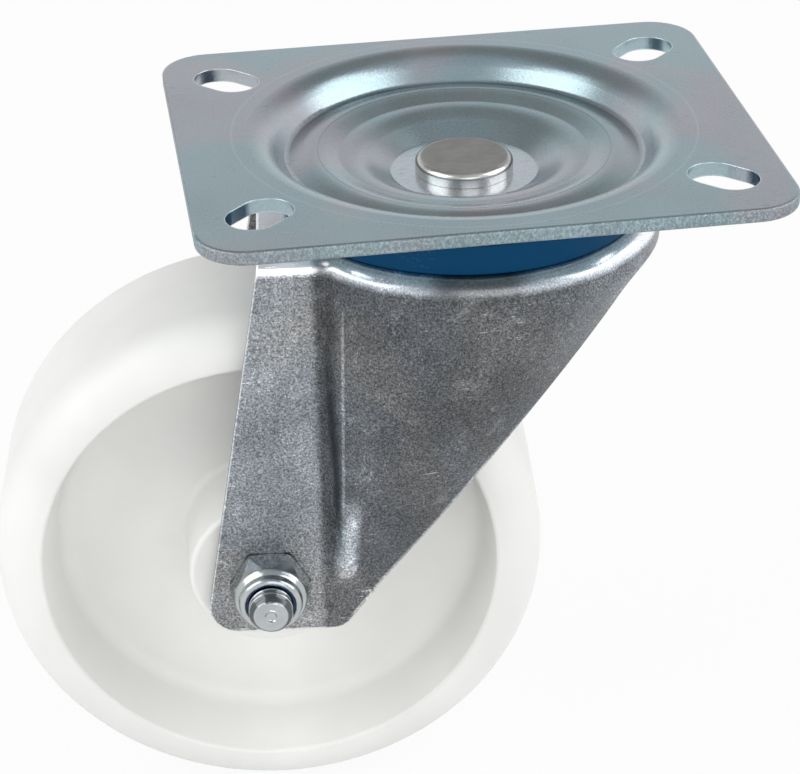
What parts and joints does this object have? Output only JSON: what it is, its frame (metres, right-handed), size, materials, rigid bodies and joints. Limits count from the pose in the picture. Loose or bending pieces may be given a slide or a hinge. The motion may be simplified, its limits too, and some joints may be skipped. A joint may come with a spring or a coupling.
{
  "type": "swivel castor",
  "caption": "Swivel castor with a pressed steel top plate, ball-race swivel, pressed fork, bolted axle and a solid white plastic wheel.",
  "frame": {"origin": "centre of the top plate's flat mounting face, on the swivel axis", "axes": "+Z is the mounting face's outward normal, along the swivel axis; X runs along the plate's long side, and at rest the wheel trails to -X, swung 6 degrees clockwise seen from above; Y runs along the plate's short side. The floor is 128 mm below the origin."},
  "size_m": [0.1377, 0.085, 0.128],
  "materials": {
    "zinc_plate": "bright zinc plated pressed steel with rubbing marks",
    "zinc_fork": "bright zinc plated pressed steel with rubbing marks",
    "zinc_race": "zinc plated pressed steel",
    "pin_steel": "turned steel, lightly brushed",
    "ball_steel": "polished hardened steel",
    "bolt_zinc": "zinc plated, bright",
    "nut_zinc": "zinc plated, bright",
    "lock_ring_nylon": "dark blue nylon",
    "seal_blue": "blue moulded plastic, smooth",
    "tube_steel": "drawn steel",
    "wheel_nylon": "white moulded nylon, slightly glossy",
    "cage_plastic": "natural moulded plastic",
    "roller_steel": "ground steel"
  },
  "bodies": {
    "plate": {"top_plate": "zinc_plate", "kingpin": "pin_steel", "lower_race": "zinc_race"},
    "fork": {"fork": "zinc_fork", "dust_seal": "seal_blue", "axle_bolt": "bolt_zinc", "axle_nut": "nut_zinc", "nut_lock_ring": "lock_ring_nylon", "axle_tube": "tube_steel"},
    "wheel": {"wheel": "wheel_nylon"},
    "roller_set": {"roller_cage": "cage_plastic", "roller_01": "roller_steel", "roller_02": "roller_steel", "roller_03": "roller_steel", "roller_04": "roller_steel", "roller_05": "roller_steel", "roller_06": "roller_steel", "roller_07": "roller_steel", "roller_08": "roller_steel", "roller_09": "roller_steel", "roller_10": "roller_steel"},
    "upper_ball_set": {"upper_balls": "ball_steel"},
    "lower_ball_set": {"lower_balls": "ball_steel"}
  },
  "joints": [
    {"name": "swivel", "type": "hinge", "parent": "plate", "child": "fork", "pos_m": [0, 0, 0], "axis": [0, 0, 1], "continuous": true},
    {"name": "wheel_spin", "type": "hinge", "parent": "fork", "child": "wheel", "pos_m": [-0.0368, 0.00387, -0.078], "axis": [0.1045, 0.9945, 0], "continuous": true},
    {"name": "roller_set_spin", "type": "hinge", "parent": "fork", "child": "roller_set", "pos_m": [-0.0368, 0.00387, -0.078], "axis": [0.1045, 0.9945, 0], "continuous": true},
    {"name": "upper_ball_roll", "type": "hinge", "parent": "plate", "child": "upper_ball_set", "pos_m": [0, 0, 0], "axis": [0, 0, 1], "continuous": true},
    {"name": "lower_ball_roll", "type": "hinge", "parent": "plate", "child": "lower_ball_set", "pos_m": [0, 0, 0], "axis": [0, 0, 1], "continuous": true}
  ],
  "couplings": [
    {"joint": "roller_set_spin", "follows": "wheel_spin", "ratio": 0.60265},
    {"joint": "upper_ball_roll", "follows": "swivel", "ratio": 0.5},
    {"joint": "lower_ball_roll", "follows": "swivel", "ratio": 0.5}
  ]
}
